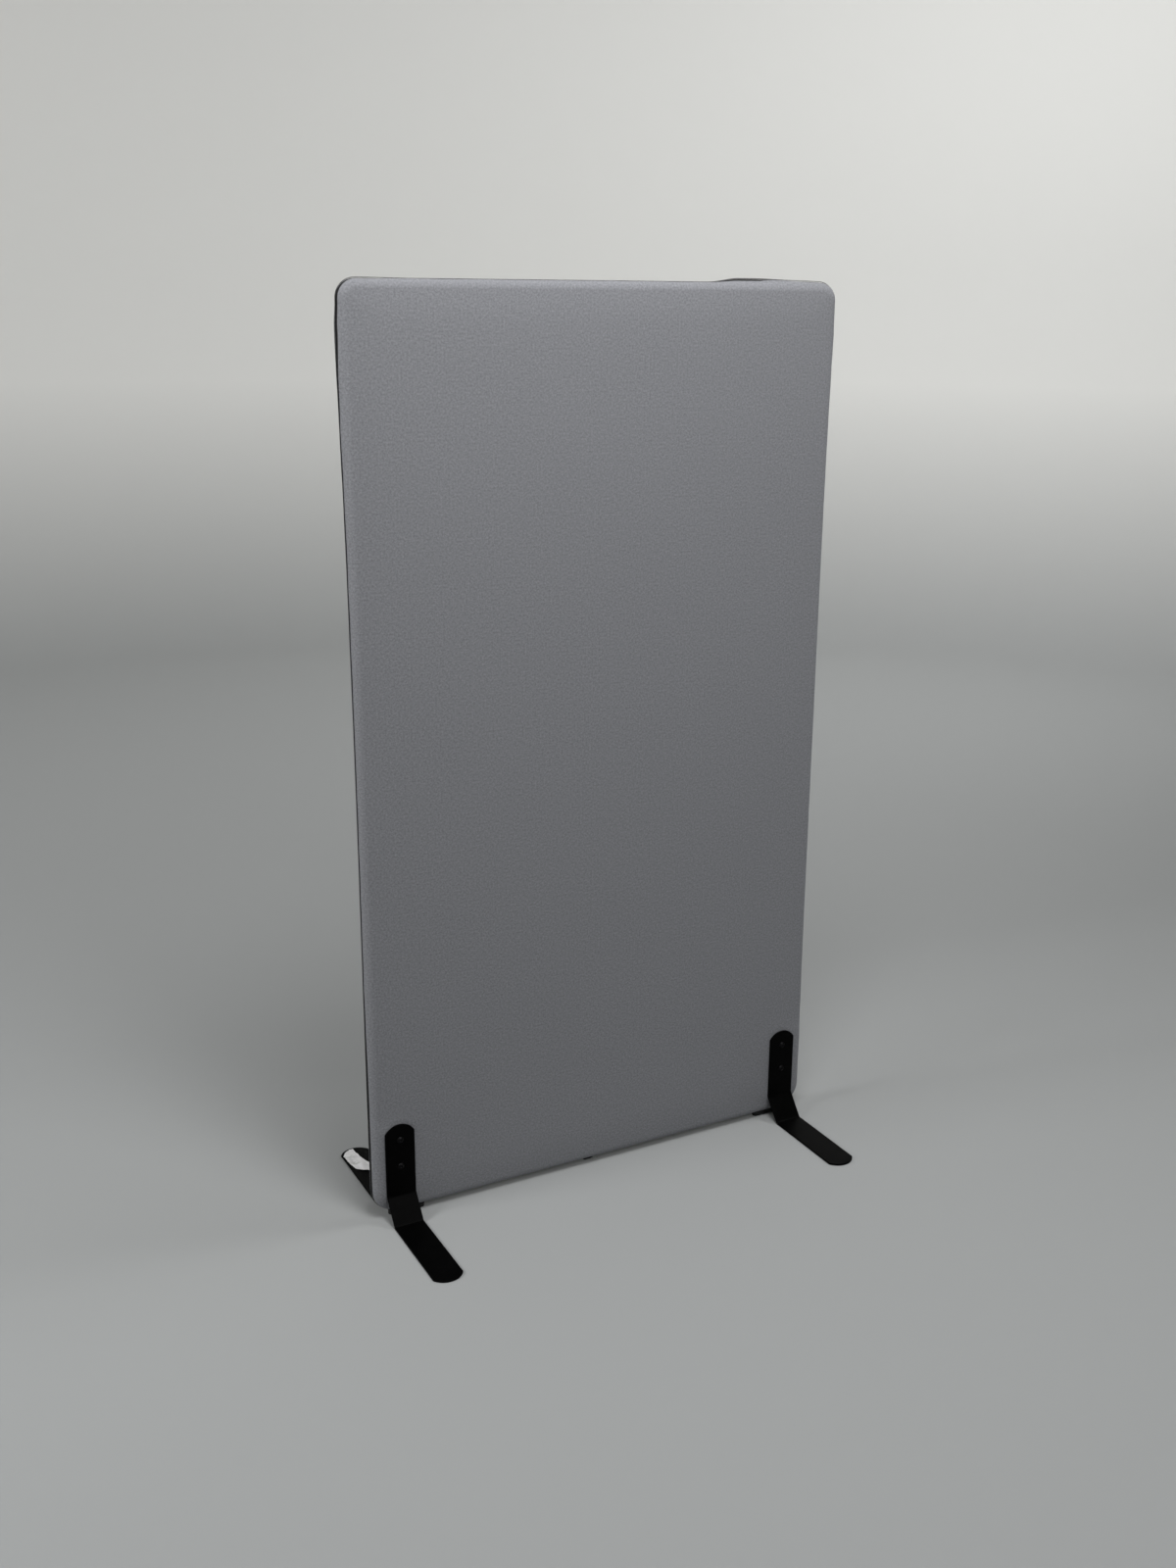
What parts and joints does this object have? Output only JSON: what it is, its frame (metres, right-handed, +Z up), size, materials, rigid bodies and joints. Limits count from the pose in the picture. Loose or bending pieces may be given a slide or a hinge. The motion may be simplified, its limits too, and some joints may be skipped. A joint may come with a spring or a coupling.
{
  "type": "upholstered partition wall",
  "caption": "Free-standing fabric-covered partition wall: zipped cover over a timber-framed absorber panel, held upright by bent flat-steel legs screwed to both faces.",
  "frame": {"origin": "on the floor, under the middle of the panel's width and thickness", "axes": "+X along the panel's width, to the right seen from the front; +Y from the front face to the back face; +Z up"},
  "size_m": [0.7998, 0.425, 1.4019],
  "materials": {
    "frame_timber": "planed softwood, unfinished",
    "dowel_beech": "fluted beech, glued in",
    "absorber_felt": "pressed recycled fibre absorber",
    "wadding_polyester": "needled polyester wadding",
    "cover_fabric": "plain-woven wool-type upholstery fabric, mid grey",
    "zip_tape": "woven polyester zip tape, black",
    "zip_teeth": "nylon coil, black",
    "zip_metal": "black-lacquered die-cast zip parts",
    "leg_steel": "satin black powder coat on flat steel",
    "screw_black": "black oxide on steel",
    "insert_zinc": "zinc-plated steel",
    "glide_rubber": "moulded black rubber, self-adhesive",
    "label_paper": "torn matt white paper with adhesive back"
  },
  "bodies": {
    "panel": {"stile_left": "frame_timber", "stile_right": "frame_timber", "rail_top": "frame_timber", "rail_middle": "frame_timber", "rail_bottom": "frame_timber", "dowels_top": "dowel_beech", "dowels_middle": "dowel_beech", "dowels_bottom": "dowel_beech", "absorber_upper": "absorber_felt", "absorber_lower": "absorber_felt", "wadding_front": "wadding_polyester", "wadding_back": "wadding_polyester", "front_cover": "cover_fabric", "back_cover": "cover_fabric", "zip_tape_front": "zip_tape", "zip_tape_back": "zip_tape", "zip_teeth_front": "zip_teeth", "zip_teeth_back": "zip_teeth", "zip_stop": "zip_metal", "leg_front_left": "leg_steel", "leg_front_right": "leg_steel", "leg_back_left": "leg_steel", "leg_back_right": "leg_steel", "screws_front_left": "screw_black", "screws_front_right": "screw_black", "screws_back_left": "screw_black", "screws_back_right": "screw_black", "inserts_front_left": "insert_zinc", "inserts_front_right": "insert_zinc", "inserts_back_left": "insert_zinc", "inserts_back_right": "insert_zinc", "glide_left": "glide_rubber", "glide_right": "glide_rubber", "paper_label": "label_paper"},
    "slider": {"zip_slider": "zip_metal"},
    "pull": {"zip_pull": "zip_metal"}
  },
  "joints": [
    {"name": "zip_slide", "type": "slide", "parent": "panel", "child": "slider", "axis": [-1, 0, 0], "range_m": [0, 0.27]},
    {"name": "pull_swing", "type": "hinge", "parent": "slider", "child": "pull", "pos_m": [-0.014, 0, 0.00405], "axis": [0, -1, 0], "range_deg": [0, 180]}
  ]
}
